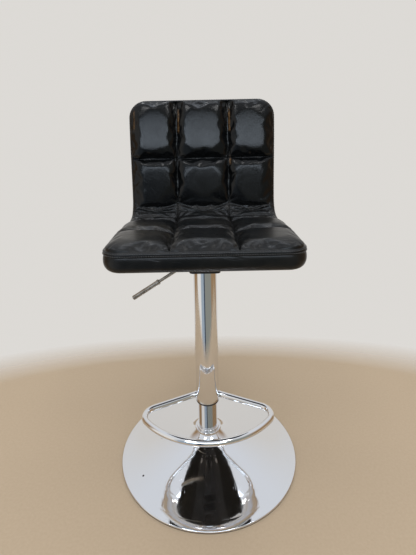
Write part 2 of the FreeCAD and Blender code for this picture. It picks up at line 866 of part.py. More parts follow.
def build_fasteners():
    washer_bottom = plate_underside - size.bolt_washer_wall
    head_bottom = washer_bottom - size.bolt_head_height
    hole = size.bolt_radius + size.bolt_hole_gap
    bolts, washers, nuts = [], [], []
    for number, (across, along) in enumerate(bolt_places(), start=1):
        head = solid(
            "Part::Prism",
            f"bolt_head_{number}",
            (across, along, head_bottom),
            Circumradius=size.bolt_head_radius,
            Height=size.bolt_head_height,
        )
        shank = solid(
            "Part::Cylinder",
            f"bolt_shank_{number}",
            (across, along, head_bottom),
            Radius=size.bolt_radius,
            Height=nut_flange_bottom - head_bottom,
        )
        bolts.append(fused(f"bolt_{number}", head, shank))
        disc = solid(
            "Part::Cylinder",
            f"washer_disc_{number}",
            (across, along, washer_bottom),
            Radius=size.bolt_washer_radius,
            Height=size.bolt_washer_wall,
        )
        disc_hole = solid(
            "Part::Cylinder",
            f"washer_hole_{number}",
            (across, along, washer_bottom - size.overrun),
            Radius=hole,
            Height=size.bolt_washer_wall + size.overrun * 2,
        )
        washers.append(cut_out(f"washer_{number}", disc, disc_hole))
        barrel = solid(
            "Part::Cylinder",
            f"nut_barrel_{number}",
            (across, along, cover_top),
            Radius=size.tee_nut_radius,
            Height=size.board_wall,
        )
        flange = solid(
            "Part::Cylinder",
            f"nut_flange_{number}",
            (across, along, nut_flange_bottom),
            Radius=size.tee_nut_flange_radius,
            Height=size.tee_nut_flange_wall,
        )
        nut_bore = solid(
            "Part::Cylinder",
            f"nut_bore_{number}",
            (across, along, cover_top - size.overrun),
            Radius=size.bolt_radius,
            Height=size.board_wall + size.overrun * 2,
        )
        nut = fused(f"nut_body_{number}", barrel, flange)
        nuts.append(cut_out(f"tee_nut_{number}", nut, nut_bore))
    grouped("plate_bolts", bolts)
    grouped("plate_washers", washers)
    grouped("tee_nuts", nuts)


# Release lever: a bent rod on the pivot pin, and its slim grip
def draw_bent_path(sketch, corners, radius):
    """Straight runs through the corners, joined by tangent bends of one radius."""
    places = [Vector(across.value, up.value, 0) for across, up in corners]
    starts, ends = [places[0]], []
    for before, corner, after in zip(places, places[1:], places[2:]):
        back = (before - corner).normalize()
        onward = (after - corner).normalize()
        trim = radius.value / math.tan(back.getAngle(onward) / 2)
        ends.append(corner + back * trim)
        starts.append(corner + onward * trim)
    ends.append(places[-1])
    runs = [sketch.addGeometry(Part.LineSegment(*pair)) for pair in zip(starts, ends)]
    for index, (first, second) in enumerate(zip(runs, runs[1:])):
        turn = (ends[index] - starts[index]).cross(ends[index + 1] - starts[index + 1]).z
        side = 1 if turn > 0 else -1
        entry, leave = (1, 2) if side > 0 else (2, 1)
        bend = sketch.addGeometry(arc_between(ends[index], starts[index + 1], radius.value, side))
        sketch.addConstraint(Sketcher.Constraint("Tangent", first, 2, bend, entry))
        sketch.addConstraint(Sketcher.Constraint("Tangent", bend, leave, second, 1))
        set_radius(sketch, bend, radius)
        mark = sketch.addGeometry(Part.Point(places[index + 1]), True)
        pin_point(sketch, mark, 1, *corners[index + 1])
        sketch.addConstraint(Sketcher.Constraint("PointOnObject", mark, 1, first))
        sketch.addConstraint(Sketcher.Constraint("PointOnObject", mark, 1, second))
    pin_point(sketch, runs[0], 1, *corners[0])
    pin_point(sketch, runs[-1], 2, *corners[-1])


def build_lever():
    slope = size.lever_slope_angle
    tip_across = size.elbow_across + size.lever_length * cosine(slope)
    tip_height = elbow_height - size.lever_length * sine(slope)
    rod = new_body("lever_rod")
    path = sketch_on(rod, "XZ_Plane", "lever_path")
    corners = [
        (size.arm_inner_end, arm_height),
        (-size.arm_outer_end, arm_height),
        (-size.elbow_across, elbow_height),
        (-tip_across, tip_height),
    ]
    draw_bent_path(path, corners, size.lever_bend_arc)
    section = sketch_on(rod, "YZ_Plane", "lever_section", size.arm_inner_end)
    draw_circle(section, ZERO, arm_height, size.lever_radius)
    piped(rod, path, section, "lever_bent_rod")
    bore = sketch_on(rod, "XZ_Plane", "lever_pivot_bore_outline")
    draw_circle(bore, -size.pivot_across, pivot_height, size.pivot_radius + size.running_gap)
    pocketed(rod, bore, "lever_pivot_bore")
    grip_end = size.lever_length + size.grip_end_wall
    collar_end = size.grip_start + size.grip_collar_length
    grip = turned(
        "lever_grip",
        [
            (size.lever_radius, size.grip_start),
            (size.grip_collar_radius, size.grip_start),
            (size.grip_collar_radius, collar_end),
            (size.grip_radius, collar_end),
            (size.grip_radius, grip_end - size.grip_end_round, size.grip_end_round, 1),
            (size.grip_radius - size.grip_end_round, grip_end),
            (ZERO, grip_end),
            (ZERO, size.lever_length),
            (size.lever_radius, size.lever_length),
        ],
    )
    tilt = slope + 90
    grip.Placement = Placement(Vector(), Rotation(Vector(0, -1, 0), tilt.value))
    bind(grip, "Placement.Rotation.Angle", tilt)
    bind(grip, "Placement.Base.x", -size.elbow_across)
    bind(grip, "Placement.Base.z", elbow_height)


# Seat board and rear cover: bands of one L-shaped section, with rounded outer corners
back_turn = as_size(90) - size.back_lean_angle


def band_edge(depth, inset):
    """The four places of an L, a depth in from the underside, from its front to its top."""
    radius = size.bend_arc - depth
    bend_across = size.seat_bend_start + radius * sine(back_turn)
    bend_up = size.seat_underside + size.bend_arc - radius * cosine(back_turn)
    length = size.back_length - inset
    return [
        (inset - size.seat_front, size.seat_underside + depth),
        (size.seat_bend_start, size.seat_underside + depth),
        (bend_across, bend_up),
        (bend_across + length * cosine(back_turn), bend_up + length * sine(back_turn)),
    ]


def round_corners(body, base, wall, at_top, radius, label):
    """Round the two corners at the front or the top: the short edges through the sheet."""
    names = [
        f"Edge{number}"
        for number, edge in enumerate(base.Shape.Edges, start=1)
        if abs(edge.Length - wall.value) < sheet.running_gap
        and (edge.CenterOfMass.z > sheet.seat_underside + sheet.bend_arc) == at_top
    ]
    rounding = body.newObject("PartDesign::Fillet", label)
    rounding.Base = (base, names)
    bind(rounding, "Radius", radius)
    doc.recompute()
    return rounding


def build_band(label, low, wall, inset):
    """A sheet of even thickness, bent to the L, with rounded corners at its front and top."""
    body = new_body(label)
    section = sketch_on(body, "YZ_Plane", label + "_section")
    front, bend, bend_end, top = band_edge(low, inset)
    inner_front, inner_bend, inner_bend_end, inner_top = band_edge(low + wall, inset)
    draw_outline(
        section,
        [
            front,
            (*bend, size.bend_arc - low, 1),
            bend_end,
            top,
            inner_top,
            (*inner_bend_end, size.bend_arc - low - wall, -1),
            inner_bend,
            inner_front,
        ],
    )
    half_width = size.waist_half_width - inset
    pad = padded(body, section, label + "_sheet", half_width * 2)
    pad.SideType = "Symmetric"
    doc.recompute()
    rounded = round_corners(body, pad, wall, False, size.front_corner_arc, label + "_front_corners")
    rounded = round_corners(body, rounded, wall, True, size.top_corner_arc, label + "_top_corners")
    return body, rounded


def build_seat_board():
    body, blank = build_band("seat_shell", size.cover_wall, size.board_wall, size.board_inset)
    through = size.board_wall + size.overrun
    drilled(body, "board_holes", size.tee_nut_radius, board_top, through)
    drilled(body, "board_flange_seats", size.tee_nut_flange_radius, board_top, size.tee_nut_flange_wall)
    cover, _ = build_band("rear_cover", ZERO, size.cover_wall, size.cover_inset)
    hole = size.bolt_radius + size.bolt_hole_gap
    drilled(cover, "cover_holes", hole, cover_top, size.cover_wall + size.overrun)
    return blank


# Foam and its sewn cover: sections square to the L's underside, three crowned arcs on top
class SeatLine:
    """The L's underside from front to top, with every place given as a length along it."""

    def __init__(self):
        self.flat = sheet.seat_front + sheet.seat_bend_start
        self.turn = math.radians(back_turn.value)
        self.bend = sheet.bend_arc * self.turn
        self.whole = self.flat + self.bend + sheet.back_length
        self.crease = self.flat + self.bend * sheet.crease_share
        back_seam = self.flat + self.bend + sheet.row_seam_back
        self.seams = [0, sheet.row_seam_one, sheet.row_seam_two, self.crease, back_seam, self.whole]

    def heading(self, along):
        return min(max(along - self.flat, 0) / sheet.bend_arc, self.turn)

    def place(self, along, across, depth):
        """A point at a length along the underside, a way across it and a depth in from it."""
        heading = self.heading(along)
        sine_part, cosine_part = math.sin(heading), math.cos(heading)
        straight = min(along, self.flat) + max(along - self.flat - self.bend, 0)
        foot = Vector(0, min(along, self.flat) - sheet.seat_front, sheet.seat_underside)
        foot += Vector(0, sine_part, 1 - cosine_part) * sheet.bend_arc
        foot += Vector(0, cosine_part, sine_part) * (straight - min(along, self.flat))
        return foot + Vector(across, -sine_part * depth, cosine_part * depth)

    def foam(self, along):
        """Depth of the foam at its seams: it thins towards the bend and thickens up the back."""
        if along < self.flat:
            return sheet.foam_front + (sheet.foam_bend - sheet.foam_front) * along / self.flat
        share = min((along - self.flat) / self.bend, 1)
        return sheet.foam_bend + (sheet.foam_back - sheet.foam_bend) * share

    def crown(self, along):
        """Height of the quilting's crown: low at the row seams, full between them."""
        below = max(seam for seam in self.seams[:-1] if seam <= along)
        above = self.seams[self.seams.index(below) + 1]
        share = 2 * (along - below) / (above - below) - 1
        return sheet.seam_crown + (sheet.crown - sheet.seam_crown) * (1 - abs(share) ** 3)

    def half_width(self, along):
        """Half the pad's width: drawn in at the waist, and rounded at the front and the top."""
        full, reach = sheet.half_width, sheet.waist_reach
        if along > self.crease:
            full, reach = sheet.back_half_width, sheet.back_waist_reach
        from_waist = min(abs(along - self.crease) / reach, 1)
        width = full - (full - sheet.waist_half_width) * (1 + math.cos(math.pi * from_waist)) / 2
        width -= round_off(along, sheet.front_corner_arc)
        return width - round_off(self.whole - along, sheet.top_corner_arc)

    def stations(self):
        """Where the sections lie: four in each quilted row, and more round the outer corners."""
        row_shares = (0, 0.15, 0.5, 0.85)
        rows = zip(self.seams, self.seams[1:])
        places = [low + (high - low) * share for low, high in rows for share in row_shares]
        corner_steps = [1 - math.cos(math.radians(angle)) for angle in (22.5, 45, 67.5)]
        places += [sheet.front_corner_arc * step for step in corner_steps]
        places += [self.whole - sheet.top_corner_arc * step for step in corner_steps]
        return sorted(places + [self.whole])


def round_off(distance, radius):
    """How far a rounded corner or edge has drawn in, at a distance from its end."""
    inside = max(radius - distance, 0)
    return radius - math.sqrt(radius**2 - inside**2)


def quilt_section(line, along, skin):
    """The closed outline of the pad at one station, all but its flat foot a skin further in."""
    ends = round_off(along, sheet.end_round) + round_off(line.whole - along, sheet.end_round)
    low = sheet.cover_wall + ends
    high = sheet.cover_wall + sheet.board_wall + line.foam(along) - ends - skin
    crown = line.crown(along)
    width = line.half_width(along) - skin
    station = min(max(along, skin), line.whole - skin)
    seam, edge, foot = sheet.column_seam, width - sheet.seam_inset, width - sheet.side_bulge_inset

    def at(across, depth):
        return line.place(station, across, depth)

    def arc(*points):
        return Part.Arc(*points).toShape()

    sunk = high - sheet.seam_sink
    outer = (seam + edge) / 2
    return Part.Wire(
        [
            Part.LineSegment(at(-foot, low), at(foot, low)).toShape(),
            arc(at(foot, low), at(width, (low + high) / 2), at(edge, high)),
            arc(at(edge, high), at(outer, high + crown), at(seam, sunk)),
            arc(at(seam, sunk), at(0, high + crown), at(-seam, sunk)),
            arc(at(-seam, sunk), at(-outer, high + crown), at(-edge, high)),
            arc(at(-edge, high), at(-width, (low + high) / 2), at(-foot, low)),
        ]
    )


def quilted_form(skin):
    line = SeatLine()
    sections = [quilt_section(line, along, skin) for along in line.stations()]
    return Part.makeLoft(sections, True, True)


def build_upholstery(board_blank):
    """The foam lies over the board and round its edges, and the sewn cover over the foam."""
    foam_form = quilted_form(sheet.leather_wall)
    foam = doc.addObject("Part::Feature", "seat_foam")
    foam.Shape = foam_form.cut(board_blank.Shape)
    keep(foam, "seat_foam")
    cover = doc.addObject("Part::Feature", "quilted_cover")
    cover.Shape = quilted_form(0).cut(foam_form)
    keep(cover, "quilted_cover")


# Build everything, prove each object sound, and write one file for each sub-part
build_base()
build_column()
build_bearing()
build_gas_spring()
build_sleeve()
build_footrest()
build_housing()
build_seat_plate()
build_lever_bracket()
build_fasteners()
build_lever()
build_upholstery(build_seat_board())
doc.recompute()

for thing in doc.Objects:
    if {"Invalid", "Error"} & set(thing.State):
        raise ValueError(f"{thing.Label} failed")
for node in nodes:
    shape = node.Shape
    if shape.isNull() or not shape.isValid():
        raise ValueError(f"{node.Label} is unsound")
    shape.exportStep(f"parts/{node.Label}.step")
    print(f"{node.Label}: {len(shape.Solids)} solid, {shape.Volume / 1000:.2f} cm3")
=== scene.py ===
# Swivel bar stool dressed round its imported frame. Metres, +Z up, the sitter faces -Y.
import json
import math
import bmesh
import bpy
from mathutils import Matrix, Vector


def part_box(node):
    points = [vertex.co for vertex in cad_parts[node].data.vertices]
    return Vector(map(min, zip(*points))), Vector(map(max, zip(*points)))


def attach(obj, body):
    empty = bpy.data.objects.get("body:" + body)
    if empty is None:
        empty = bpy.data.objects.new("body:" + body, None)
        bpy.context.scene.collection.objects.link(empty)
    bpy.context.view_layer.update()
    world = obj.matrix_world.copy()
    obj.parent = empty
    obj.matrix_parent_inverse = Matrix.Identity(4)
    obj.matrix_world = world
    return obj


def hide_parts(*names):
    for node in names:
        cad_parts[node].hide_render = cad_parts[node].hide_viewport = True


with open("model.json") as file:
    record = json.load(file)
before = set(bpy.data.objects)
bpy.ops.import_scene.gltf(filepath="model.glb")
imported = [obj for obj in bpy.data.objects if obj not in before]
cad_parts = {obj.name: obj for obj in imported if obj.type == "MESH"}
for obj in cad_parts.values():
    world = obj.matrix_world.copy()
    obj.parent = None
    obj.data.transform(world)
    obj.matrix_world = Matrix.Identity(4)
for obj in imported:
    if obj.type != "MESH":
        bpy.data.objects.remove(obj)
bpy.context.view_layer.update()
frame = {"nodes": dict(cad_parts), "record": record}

MM = 0.001

# The photograph's camera: where it stood, how it was turned, and how it framed the stool
CAMERA_PLACE = Vector((-0.8, -983.2, 870.7)) * MM
CAMERA_TILT = 8.161
CAMERA_YAW = 0.169
CAMERA_ROLL = 1.22
LENS = 26.235
SHIFT_ACROSS = 0.0115
SHIFT_UP = -0.17

# The seat board's line, from its front edge round the bend to its top
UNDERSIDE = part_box("rear_cover")[0].z
SEAT_FRONT = -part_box("quilted_cover")[0].y
BEND_START = 86.5 * MM
BEND_RADIUS = 115.5 * MM
BACK_LEAN = 9.6
BACK_TURN = math.radians(90 - BACK_LEAN)
BACK_LENGTH = 280.5 * MM
FLAT = SEAT_FRONT + BEND_START
BEND = BEND_RADIUS * BACK_TURN
WHOLE = FLAT + BEND + BACK_LENGTH
CREASE_SHARE = 0.59
CREASE = FLAT + BEND * CREASE_SHARE
FIRST_ROW_END = 0.1485
SECOND_ROW_END = 0.265
LOWER_BACK_ROW = 0.112
ROW_SEAMS = [FIRST_ROW_END, SECOND_ROW_END, CREASE, FLAT + BEND + LOWER_BACK_ROW]
COLUMN_SEAM = 73 * MM

# The pad on it
BOARD_TOP = 13 * MM
FOAM_FRONT = 37.8 * MM
FOAM_BEND = 35 * MM
FOAM_BACK = 32.5 * MM
HALF_WIDTH = 219 * MM
WAIST_HALF_WIDTH = 201 * MM
BACK_HALF_WIDTH = 208.5 * MM
WAIST_REACH = 200 * MM
BACK_WAIST_REACH = 330 * MM
FRONT_CORNER = 42 * MM
TOP_CORNER = 48 * MM
PANEL_INSET = 4 * MM
CELL = 4.2 * MM
FEWEST_CELLS = 8
CROWDING = 0.5
GROOVE = 3.2 * MM
PINCH = 9 * MM
PINCH_START = 6 * MM
PINCH_REACH = 27 * MM
PINCH_WIDTH = 21 * MM


# Small helpers
def mix(low, high, share):
    return low + (high - low) * share


def new_piece(name, bm):
    """An object from a bmesh, shaded smooth."""
    mesh = bpy.data.meshes.new(name)
    bm.to_mesh(mesh)
    bm.free()
    piece = bpy.data.objects.new(name, mesh)
    bpy.context.scene.collection.objects.link(piece)
    mesh.polygons.foreach_set("use_smooth", [True] * len(mesh.polygons))
    return piece


def finish_piece(piece, body, finish):
    """Give a piece its finish and its slot, and the body that it rides on."""
    piece.data.materials.append(finish)
    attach(piece, body)


# Materials
class Finish:
    """A material with its shader, and short calls for the nodes that vary it."""

    # The share of its reach within which a worn place shows in full
    CORE_SHARE = 0.4

    def __init__(self, name, colour, roughness, metallic=0.0, specular=0.5):
        self.material = bpy.data.materials.new(name)
        self.material.use_nodes = True
        self.tree = self.material.node_tree
        self.shader = self.tree.nodes["Principled BSDF"]
        self.set("Base Color", (*colour, 1))
        self.set("Roughness", roughness)
        self.set("Metallic", metallic)
        self.set("Specular IOR Level", specular)
        self.place = self.node("ShaderNodeTexCoord").outputs["Object"]
        self.bumps = None

    def node(self, kind, **settings):
        made = self.tree.nodes.new(kind)
        for key, value in settings.items():
            setattr(made, key, value)
        return made

    def set(self, socket, value):
        self.shader.inputs[socket].default_value = value

    def link(self, source, target):
        self.tree.links.new(source, target)

    def feed(self, socket, source):
        self.link(source, self.shader.inputs[socket])

    def stretched(self, scale, turn=(0, 0, 0)):
        mapping = self.node("ShaderNodeMapping")
        mapping.inputs["Scale"].default_value = scale
        mapping.inputs["Rotation"].default_value = turn
        self.link(self.place, mapping.inputs["Vector"])
        return mapping.outputs["Vector"]

    def noise(self, scale, detail=3.0, rough=0.5, distortion=0.0, vector=None):
        made = self.node("ShaderNodeTexNoise")
        values = {"Scale": scale, "Detail": detail, "Roughness": rough, "Distortion": distortion}
        for socket, value in values.items():
            made.inputs[socket].default_value = value
        self.link(vector or self.place, made.inputs["Vector"])
        return made.outputs["Fac"]

    def cells(self, scale):
        made = self.node("ShaderNodeTexVoronoi", feature="SMOOTH_F1")
        made.inputs["Scale"].default_value = scale
        made.inputs["Smoothness"].default_value = 0.6
        self.link(self.place, made.inputs["Vector"])
        return made.outputs["Distance"]

    def spread(self, source, low, high, out_low, out_high):
        made = self.node("ShaderNodeMapRange")
        values = {"From Min": low, "From Max": high, "To Min": out_low, "To Max": out_high}
        for socket, value in values.items():
            made.inputs[socket].default_value = value
        self.link(source, made.inputs["Value"])
        return made.outputs["Result"]

    def sum(self, kind, first, second):
        made = self.node("ShaderNodeMath", operation=kind)
        for socket, value in zip(made.inputs, (first, second)):
            if isinstance(value, (int, float)):
                socket.default_value = value
            else:
                self.link(value, socket)
        return made.outputs["Value"]

    def colours(self, share, first, second):
        made = self.node("ShaderNodeMix", data_type="RGBA")
        for colour, socket in ((first, made.inputs["A"]), (second, made.inputs["B"])):
            if isinstance(colour, tuple):
                socket.default_value = (*colour, 1)
            else:
                self.link(colour, socket)
        self.link(share, made.inputs["Factor"])
        return made.outputs["Result"]

    def near(self, place, reach):
        """One round a place, fading to nothing at its reach."""
        made = self.node("ShaderNodeVectorMath", operation="DISTANCE")
        self.link(self.place, made.inputs[0])
        made.inputs[1].default_value = place
        return self.spread(made.outputs["Value"], reach, reach * self.CORE_SHARE, 0, 1)

    def bump(self, height, depth, strength):
        made = self.node("ShaderNodeBump")
        made.inputs["Distance"].default_value = depth
        made.inputs["Strength"].default_value = strength
        self.link(height, made.inputs["Height"])
        if self.bumps is not None:
            self.link(self.bumps, made.inputs["Normal"])
        self.bumps = made.outputs["Normal"]
        self.feed("Normal", self.bumps)


# The cover's colours: unworn, where the seat has dulled, where dust and rubbing show, and a painted warm
# reflection beside the back's seams
COVER_BLACK = (0.0024, 0.0027, 0.0030)
COVER_DULL = (0.0085, 0.0080, 0.0074)
COVER_DUST = (0.034, 0.030, 0.024)
COVER_RUBBED = (0.09, 0.09, 0.09)
COVER_WARM_REFLECTION = (0.15, 0.082, 0.034)
# The seat's finish fades into the back's between these heights
SEAT_BELOW = 0.63
BACK_ABOVE = 0.66
SEAT_ROUGHER = 0.13
# Worn places on the seat: across, along and up, how far each reaches, and how much it shows
DUSTY_PLACE = (-0.162, -0.063, 0.617)
DUST_REACH = 0.11
RUBBED_PLACES = [
    ((-0.067, -0.138, 0.612), 0.016, 1.0),
    ((-0.103, -0.138, 0.612), 0.008, 0.5),
    ((0.029, -0.098, 0.618), 0.008, 0.5),
]
# Painted warm reflections beside the back's seams: across, from and to what height, and how much each shows
SEAM_REFLECTIONS = [
    (-0.0675, 0.852, 0.915, 0.9),
    (0.0785, 0.855, 0.915, 0.9),
    (0.0785, 0.762, 0.780, 0.8),
    (-0.193, 0.86, 0.912, 0.5),
]
# Width of each painted reflection line, and how softly it fades at its ends
SEAM_REFLECTION_WIDTH = 0.0036
SEAM_REFLECTION_SOFT_END = 0.006


def leatherette():
    """Glossy black coated cloth: fine grain, folds, a dusty and rubbed seat, a glossier back, and painted
    warm reflections beside the back's seams.
    """
    finish = Finish("black_leatherette", (0.0030, 0.0033, 0.0036), 0.22, specular=0.25)
    place = finish.node("ShaderNodeSeparateXYZ")
    finish.link(finish.place, place.inputs["Vector"])
    seat = finish.spread(place.outputs["Z"], BACK_ABOVE, SEAT_BELOW, 0, 1)
    cloudy = finish.noise(14, 4, 0.6, 0.6)
    dust = finish.near(DUSTY_PLACE, DUST_REACH)
    dust = finish.sum("MULTIPLY", dust, finish.spread(finish.noise(34, 5, 0.7, 1.0), 0.35, 0.7, 0, 1))
    dulled = finish.sum("MULTIPLY", seat, finish.spread(cloudy, 0.4, 0.7, 0, 1))
    colour = finish.colours(dulled, COVER_BLACK, COVER_DULL)
    colour = finish.colours(dust, colour, COVER_DUST)
    ragged = finish.spread(finish.noise(130, 4, 0.7, 1.5), 0.38, 0.6, 0, 1)
    for spot, reach, strength in RUBBED_PLACES:
        patch = finish.sum("MULTIPLY", finish.near(spot, reach), ragged)
        colour = finish.colours(finish.sum("MULTIPLY", patch, strength), colour, COVER_RUBBED)
    # Painted warm reflections: thin brown lines beside the back's seams, mixed into the cover's colour
    for across, low, high, strength in SEAM_REFLECTIONS:
        beside = finish.sum("ABSOLUTE", finish.sum("SUBTRACT", place.outputs["X"], across), 0)
        line = finish.sum("MULTIPLY", finish.spread(beside, SEAM_REFLECTION_WIDTH, SEAM_REFLECTION_WIDTH / 3, 0, strength), ragged)
        above = finish.spread(place.outputs["Z"], low - SEAM_REFLECTION_SOFT_END, low + SEAM_REFLECTION_SOFT_END, 0, 1)
        below = finish.spread(place.outputs["Z"], high + SEAM_REFLECTION_SOFT_END, high - SEAM_REFLECTION_SOFT_END, 0, 1)
        line = finish.sum("MULTIPLY", line, finish.sum("MULTIPLY", above, below))
        colour = finish.colours(line, colour, COVER_WARM_REFLECTION)
    finish.feed("Base Color", colour)
    uneven = finish.spread(finish.noise(38, 5, 0.65), 0.3, 0.7, 0.15, 0.23)
    finish.feed("Roughness", finish.sum("ADD", uneven, finish.sum("MULTIPLY", seat, SEAT_ROUGHER)))
    finish.bump(finish.noise(70, 4, 0.55, 0.8), 0.00035, 0.45)
    folds = finish.noise(16, 3, 0.55, 0.9, finish.stretched((0.35, 1, 1)))
    across_folds = finish.spread(folds, 0.485, 0.515, 0, 1)
    finish.bump(finish.sum("MULTIPLY", across_folds, seat), 0.0004, 0.8)
    finish.bump(finish.noise(230, 3, 0.6), 0.00022, 0.7)
    finish.bump(finish.cells(900), 0.00012, 0.6)
    return finish.material


def thread():
    """Waxed black sewing thread, a little uneven in shade and height."""
    finish = Finish("black_thread", (0.05, 0.05, 0.052), 0.4, specular=0.5)
    lay = finish.noise(900, 2, 0.5)
    shade = finish.colours(finish.spread(lay, 0.35, 0.65, 0, 1), (0.03, 0.03, 0.032), (0.08, 0.08, 0.082))
    finish.feed("Base Color", shade)
    finish.bump(lay, 0.0001, 0.6)
    return finish.material


PLATING = (0.80, 0.80, 0.81)
PIT = (0.05, 0.04, 0.035)
SCRATCH_TURNS = (0.5, 1.9)


def chrome():
    """Bright plating: faint smears, hair scratches and a few pits."""
    finish = Finish("chrome", PLATING, 0.05, metallic=1.0)
    finish.feed("Roughness", finish.spread(finish.noise(22, 5, 0.6), 0.35, 0.75, 0.03, 0.085))
    pits = finish.spread(finish.cells(13), 0.022, 0.03, 0, 1)
    finish.feed("Base Color", finish.colours(pits, PIT, PLATING))
    finish.bump(finish.noise(7, 2, 0.5), 0.0004, 0.2)
    for turn in SCRATCH_TURNS:
        lines = finish.noise(300, 1, 0.4, 0.3, finish.stretched((1, 0.03, 1), (0, 0, turn)))
        finish.bump(finish.spread(lines, 0.62, 0.72, 0, 1), 0.00002, 0.5)
    return finish.material


def worn_plating():
    """The lever's plating, dulled and browned by hands."""
    finish = Finish("worn_plating", (0.42, 0.38, 0.33), 0.34, metallic=1.0)
    stain = finish.spread(finish.noise(60, 4, 0.65, 0.5), 0.35, 0.7, 0, 1)
    finish.feed("Base Color", finish.colours(stain, (0.46, 0.42, 0.37), (0.20, 0.165, 0.13)))
    finish.feed("Roughness", finish.spread(finish.noise(140, 3), 0.3, 0.7, 0.26, 0.46))
    finish.bump(finish.noise(500, 2, 0.5), 0.00006, 0.5)
    return finish.material


def plain_metal(name, colour, roughness):
    """Unpolished steel, a little uneven."""
    finish = Finish(name, colour, roughness, metallic=1.0)
    uneven = finish.spread(finish.noise(60, 4, 0.6), 0.3, 0.7, roughness - 0.07, roughness + 0.09)
    finish.feed("Roughness", uneven)
    finish.bump(finish.noise(420, 2, 0.5), 0.00004, 0.4)
    return finish.material


def moulded(name, colour, roughness, grain):
    """Plastic, rubber, foam or powder coat: paler patches and a fine grain."""
    finish = Finish(name, colour, roughness, specular=0.4)
    paler = tuple(part * 1.6 + 0.004 for part in colour)
    patch = finish.spread(finish.noise(30, 4, 0.6), 0.4, 0.75, 0, 1)
    finish.feed("Base Color", finish.colours(patch, colour, paler))
    uneven = finish.spread(finish.noise(90, 3), 0.3, 0.7, roughness - 0.05, roughness + 0.08)
    finish.feed("Roughness", uneven)
    finish.bump(finish.cells(grain), 0.00005, 0.5)
    return finish.material


def plywood():
    """Birch board with its grain along the seat."""
    finish = Finish("plywood", (0.5, 0.36, 0.21), 0.6, specular=0.3)
    grain = finish.noise(30, 6, 0.6, 1.5, finish.stretched((1, 0.08, 1)))
    streaks = finish.spread(grain, 0.3, 0.7, 0, 1)
    finish.feed("Base Color", finish.colours(streaks, (0.42, 0.28, 0.15), (0.6, 0.45, 0.28)))
    finish.bump(grain, 0.0002, 0.4)
    return finish.material


FINISHES = {
    "chrome": chrome(),
    "bare_steel": plain_metal("bare_steel", (0.45, 0.45, 0.46), 0.34),
    "bearing_steel": plain_metal("bearing_steel", (0.6, 0.6, 0.62), 0.2),
    "black_steel": moulded("black_steel", (0.012, 0.012, 0.013), 0.38, 900),
    "black_plastic": moulded("black_plastic", (0.014, 0.013, 0.013), 0.36, 700),
    "white_nylon": moulded("white_nylon", (0.72, 0.71, 0.66), 0.45, 500),
    "black_rubber": moulded("black_rubber", (0.014, 0.014, 0.014), 0.62, 400),
    "black_leatherette": leatherette(),
    "foam": moulded("foam", (0.7, 0.66, 0.5), 0.9, 260),
    "plywood": plywood(),
}
LEVER_FINISH = worn_plating()


def dress_frame():
    """Give every sub-part of the frame the finish of its slot, and the lever its own."""
    slots = {part["node"]: part["material_slot"] for part in frame["record"]["subparts"]}
    for node, thing in frame["nodes"].items():
        handled = node.startswith("lever_") and slots[node] == "chrome"
        thing.data.materials.clear()
        thing.data.materials.append(LEVER_FINISH if handled else FINISHES[slots[node]])


# The seat line: every place on the pad is a length along it, a way across it and a depth in
def heading(along):
    return min(max(along - FLAT, 0) / BEND_RADIUS, BACK_TURN)


def on_seat(along, across, depth):
    turn = heading(along)
    flat = min(along, FLAT)
    straight = max(along - FLAT - BEND, 0)
    foot = Vector((0, flat - SEAT_FRONT, UNDERSIDE))
    foot += Vector((0, math.sin(turn), 1 - math.cos(turn))) * BEND_RADIUS
    foot += Vector((0, math.cos(turn), math.sin(turn))) * straight
    return foot + Vector((across, -math.sin(turn) * depth, math.cos(turn) * depth))


def seam_depth(along):
    """How far in from the underside the quilting's seams lie."""
    if along < FLAT:
        return BOARD_TOP + mix(FOAM_FRONT, FOAM_BEND, along / FLAT)
    return BOARD_TOP + mix(FOAM_BEND, FOAM_BACK, min((along - FLAT) / BEND, 1))


def half_width(along):
    """Half the pad's width at a place along it, narrowest at the crease."""
    full, reach = (HALF_WIDTH, WAIST_REACH) if along < CREASE else (BACK_HALF_WIDTH, BACK_WAIST_REACH)
    from_waist = min(abs(along - CREASE) / reach, 1)
    return full - (full - WAIST_HALF_WIDTH) * (1 + math.cos(math.pi * from_waist)) / 2


def graded(count):
    """Shares from 0 to 1, closer together near both ends, where the seams are."""
    steps = [number / count for number in range(count + 1)]
    return [step - CROWDING * math.sin(2 * math.pi * step) / (2 * math.pi) for step in steps]


def seam_spans(places):
    """For each seam-to-seam span: its ends, and the shares of the cells between them."""
    found = []
    for low, high in zip(places, places[1:]):
        found.append((low, high, graded(max(round((high - low) / CELL), FEWEST_CELLS))))
    return found


